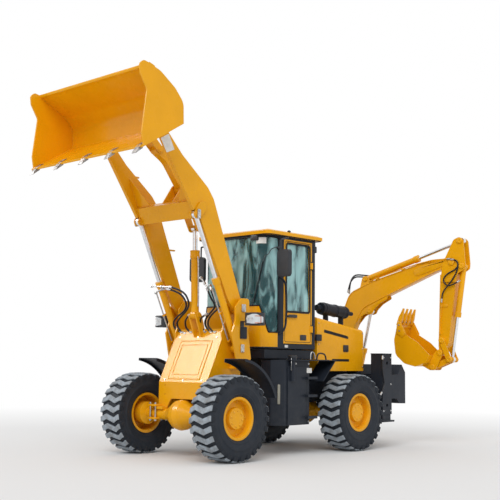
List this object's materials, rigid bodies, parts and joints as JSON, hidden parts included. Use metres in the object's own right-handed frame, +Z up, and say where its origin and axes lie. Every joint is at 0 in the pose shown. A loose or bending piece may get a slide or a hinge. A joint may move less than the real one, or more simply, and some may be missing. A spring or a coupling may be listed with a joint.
{
  "type": "backhoe loader",
  "caption": "Articulated backhoe loader with a raised front shovel, a glazed cab and a side-shift digger folded across the back.",
  "frame": {"origin": "middle of the bounding box, at ground level under the tyres", "axes": "+X forward along the machine, +Y to its left, +Z up"},
  "size_m": [6.1514, 2.887, 4.6607],
  "materials": {
    "yellow_paint": "satin machine enamel",
    "charcoal_paint": "satin dark enamel",
    "tyre_rubber": "matt tread rubber",
    "chrome": "polished",
    "steel": "worn steel",
    "glass": "teal tint",
    "black_plastic": "grained",
    "seat_cloth": "woven",
    "cast_iron": "rough casting"
  },
  "bodies": {
    "rear_frame": {"rear_chassis": "charcoal_paint", "rear_axle": "yellow_paint", "engine_block": "cast_iron", "cab_frame": "charcoal_paint", "cab_panels": "yellow_paint", "cab_glass": "glass", "cab_roof": "yellow_paint", "seat": "seat_cloth", "console": "black_plastic", "mirrors": "black_plastic", "tank_left": "charcoal_paint", "tank_right": "charcoal_paint", "engine_hood": "yellow_paint", "muffler": "charcoal_paint", "slide_frame": "charcoal_paint"},
    "front_frame": {"front_frame": "yellow_paint", "front_axle": "yellow_paint", "front_fenders": "charcoal_paint", "headlights": "black_plastic"},
    "wheel_front_left": {"tyre_front_left": "tyre_rubber", "rim_front_left": "yellow_paint"},
    "wheel_front_right": {"tyre_front_right": "tyre_rubber", "rim_front_right": "yellow_paint"},
    "wheel_rear_left": {"tyre_rear_left": "tyre_rubber", "rim_rear_left": "yellow_paint"},
    "wheel_rear_right": {"tyre_rear_right": "tyre_rubber", "rim_rear_right": "yellow_paint"},
    "loader_arms": {"loader_arms": "yellow_paint"},
    "lift_barrels": {"lift_barrels": "yellow_paint"},
    "lift_rods": {"lift_rods": "chrome"},
    "tilt_barrel": {"tilt_barrel": "yellow_paint"},
    "tilt_rod": {"tilt_rod": "chrome"},
    "rocker": {"rocker": "yellow_paint"},
    "bucket_link": {"bucket_link": "yellow_paint"},
    "loader_bucket": {"loader_bucket": "yellow_paint", "bucket_teeth": "steel"},
    "cab_door": {"cab_door": "yellow_paint", "door_glass": "glass"},
    "stabiliser_left": {"stabiliser_left": "charcoal_paint"},
    "stabiliser_right": {"stabiliser_right": "charcoal_paint"},
    "carriage": {"carriage": "charcoal_paint"},
    "swing_post": {"swing_post": "charcoal_paint"},
    "boom": {"boom": "yellow_paint"},
    "boom_barrel": {"boom_barrel": "yellow_paint"},
    "boom_rod": {"boom_rod": "chrome"},
    "dipper": {"dipper": "yellow_paint"},
    "dipper_barrel": {"dipper_barrel": "yellow_paint"},
    "dipper_rod": {"dipper_rod": "chrome"},
    "dig_barrel": {"dig_barrel": "yellow_paint"},
    "dig_rod": {"dig_rod": "chrome"},
    "dig_rocker": {"dig_rocker": "yellow_paint"},
    "dig_link": {"dig_link": "yellow_paint"},
    "dig_bucket": {"dig_bucket": "yellow_paint"}
  },
  "joints": [
    {"name": "steering", "type": "hinge", "parent": "rear_frame", "child": "front_frame", "pos_m": [0.03645, -0.3635, 0.7], "axis": [0, 0, 1], "range_deg": [-35, 35]},
    {"name": "front_left_spin", "type": "hinge", "parent": "front_frame", "child": "wheel_front_left", "pos_m": [1.28645, 0.4915, 0.54], "axis": [0, 1, 0], "continuous": true},
    {"name": "front_right_spin", "type": "hinge", "parent": "front_frame", "child": "wheel_front_right", "pos_m": [1.28645, -1.2185, 0.54], "axis": [0, 1, 0], "continuous": true},
    {"name": "rear_left_spin", "type": "hinge", "parent": "rear_frame", "child": "wheel_rear_left", "pos_m": [-1.21355, 0.4915, 0.54], "axis": [0, 1, 0], "continuous": true},
    {"name": "rear_right_spin", "type": "hinge", "parent": "rear_frame", "child": "wheel_rear_right", "pos_m": [-1.21355, -1.2185, 0.54], "axis": [0, 1, 0], "continuous": true},
    {"name": "loader_lift", "type": "hinge", "parent": "front_frame", "child": "loader_arms", "pos_m": [0.82945, -0.3635, 1.937], "axis": [0, 1, 0], "range_deg": [0, 100.1]},
    {"name": "lift_barrel_swing", "type": "hinge", "parent": "front_frame", "child": "lift_barrels", "pos_m": [0.84145, -0.3635, 1.41], "axis": [0, 1, 0], "range_deg": [-0.05, 90.3]},
    {"name": "lift_rod_slide", "type": "slide", "parent": "lift_barrels", "child": "lift_rods", "axis": [0.4277, 0, 0.9039], "range_m": [-0.77091, 0.0005]},
    {"name": "loader_bucket_curl", "type": "hinge", "parent": "loader_arms", "child": "loader_bucket", "pos_m": [2.30645, -0.3635, 4.165], "axis": [0, -1, 0], "range_deg": [-8, 145]},
    {"name": "rocker_turn", "type": "hinge", "parent": "loader_arms", "child": "rocker", "pos_m": [1.37145, -0.3635, 3.51], "axis": [0, -1, 0], "range_deg": [-64.68, 3.62]},
    {"name": "bucket_link_turn", "type": "hinge", "parent": "loader_bucket", "child": "bucket_link", "pos_m": [2.37645, -0.3635, 4.43], "axis": [0, -1, 0], "range_deg": [-105.09, 5.85]},
    {"name": "tilt_barrel_swing", "type": "hinge", "parent": "front_frame", "child": "tilt_barrel", "pos_m": [1.09345, -0.3635, 1.851], "axis": [0, 1, 0], "range_deg": [-0.05, 96.35]},
    {"name": "tilt_rod_slide", "type": "slide", "parent": "tilt_barrel", "child": "tilt_rod", "axis": [0.0242, 0, 0.9997], "range_m": [-0.0005, 0.15195]},
    {"name": "door_hinge", "type": "hinge", "parent": "rear_frame", "child": "cab_door", "pos_m": [-0.59155, 0.2705, 2], "axis": [0, 0, 1], "range_deg": [0, 170]},
    {"name": "left_leg_slide", "type": "slide", "parent": "rear_frame", "child": "stabiliser_left", "axis": [0, 0, -1], "range_m": [0, 0.38]},
    {"name": "right_leg_slide", "type": "slide", "parent": "rear_frame", "child": "stabiliser_right", "axis": [0, 0, -1], "range_m": [0, 0.38]},
    {"name": "side_shift", "type": "slide", "parent": "rear_frame", "child": "carriage", "axis": [0, 1, 0], "range_m": [0, 1]},
    {"name": "boom_swing", "type": "hinge", "parent": "carriage", "child": "swing_post", "pos_m": [-2.70355, -0.8635, 0.9], "axis": [0, 0, 1], "range_deg": [0, 170]},
    {"name": "boom_lift", "type": "hinge", "parent": "swing_post", "child": "boom", "pos_m": [-2.71313, -0.75392, 1.5], "axis": [-0.9962, -0.0872, 0], "range_deg": [0, 56]},
    {"name": "boom_barrel_swing", "type": "hinge", "parent": "swing_post", "child": "boom_barrel", "pos_m": [-2.73274, -0.52977, 0.86], "axis": [-0.9962, -0.0872, 0], "range_deg": [-0.05, 31.65]},
    {"name": "boom_rod_slide", "type": "slide", "parent": "boom_barrel", "child": "boom_rod", "axis": [-0.0194, 0.2215, 0.975], "range_m": [-0.48493, 0.0005]},
    {"name": "dipper_swing", "type": "hinge", "parent": "boom", "child": "dipper", "pos_m": [-2.88483, 1.20859, 2.785], "axis": [0.9962, 0.0872, 0], "range_deg": [-12, 75]},
    {"name": "dipper_barrel_swing", "type": "hinge", "parent": "boom", "child": "dipper_barrel", "pos_m": [-2.75053, -0.32655, 2.595], "axis": [0.9962, 0.0872, 0], "range_deg": [-0.19, 0.9]},
    {"name": "dipper_rod_slide", "type": "slide", "parent": "dipper_barrel", "child": "dipper_rod", "axis": [-0.0834, 0.9529, 0.2917], "range_m": [-0.42642, 0.06865]},
    {"name": "dig_bucket_turn", "type": "hinge", "parent": "dipper", "child": "dig_bucket", "pos_m": [-2.86635, 0.99739, 1.409], "axis": [0.9962, 0.0872, 0], "range_deg": [-6, 135]},
    {"name": "dig_rocker_turn", "type": "hinge", "parent": "dipper", "child": "dig_rocker", "pos_m": [-2.86993, 1.03824, 1.593], "axis": [0.9962, 0.0872, 0], "range_deg": [-4.72, 105.11]},
    {"name": "dig_link_turn", "type": "hinge", "parent": "dig_bucket", "child": "dig_link", "pos_m": [-2.85511, 0.86888, 1.189], "axis": [0.9962, 0.0872, 0], "range_deg": [-74.4, 3.35]},
    {"name": "dig_barrel_swing", "type": "hinge", "parent": "dipper", "child": "dig_barrel", "pos_m": [-2.89921, 1.37296, 2.718], "axis": [0.9962, 0.0872, 0], "range_deg": [-0.19, 3.24]},
    {"name": "dig_rod_slide", "type": "slide", "parent": "dig_barrel", "child": "dig_rod", "axis": [0.0132, -0.1506, -0.9885], "range_m": [-0.49007, 0.02226]}
  ],
  "couplings": [
    {"joint": "lift_barrel_swing", "follows": "loader_lift", "ratio": 0.90156},
    {"joint": "lift_rod_slide", "follows": "loader_lift", "m_per_rad": -0.44097},
    {"joint": "rocker_turn", "follows": "loader_bucket_curl", "ratio": -0.44569},
    {"joint": "bucket_link_turn", "follows": "loader_bucket_curl", "ratio": -0.72443},
    {"joint": "tilt_barrel_swing", "follows": "loader_lift", "ratio": 0.96203},
    {"joint": "tilt_rod_slide", "follows": "loader_lift", "m_per_rad": 0.086688},
    {"joint": "boom_barrel_swing", "follows": "boom_lift", "ratio": 0.56426},
    {"joint": "boom_rod_slide", "follows": "boom_lift", "m_per_rad": -0.49564},
    {"joint": "dipper_barrel_swing", "follows": "dipper_swing", "ratio": 0.011364},
    {"joint": "dipper_rod_slide", "follows": "dipper_swing", "m_per_rad": -0.32538},
    {"joint": "dig_rocker_turn", "follows": "dig_bucket_turn", "ratio": 0.77825},
    {"joint": "dig_link_turn", "follows": "dig_bucket_turn", "ratio": -0.55075},
    {"joint": "dig_barrel_swing", "follows": "dig_bucket_turn", "ratio": 0.023654},
    {"joint": "dig_rod_slide", "follows": "dig_bucket_turn", "m_per_rad": -0.20778}
  ]
}
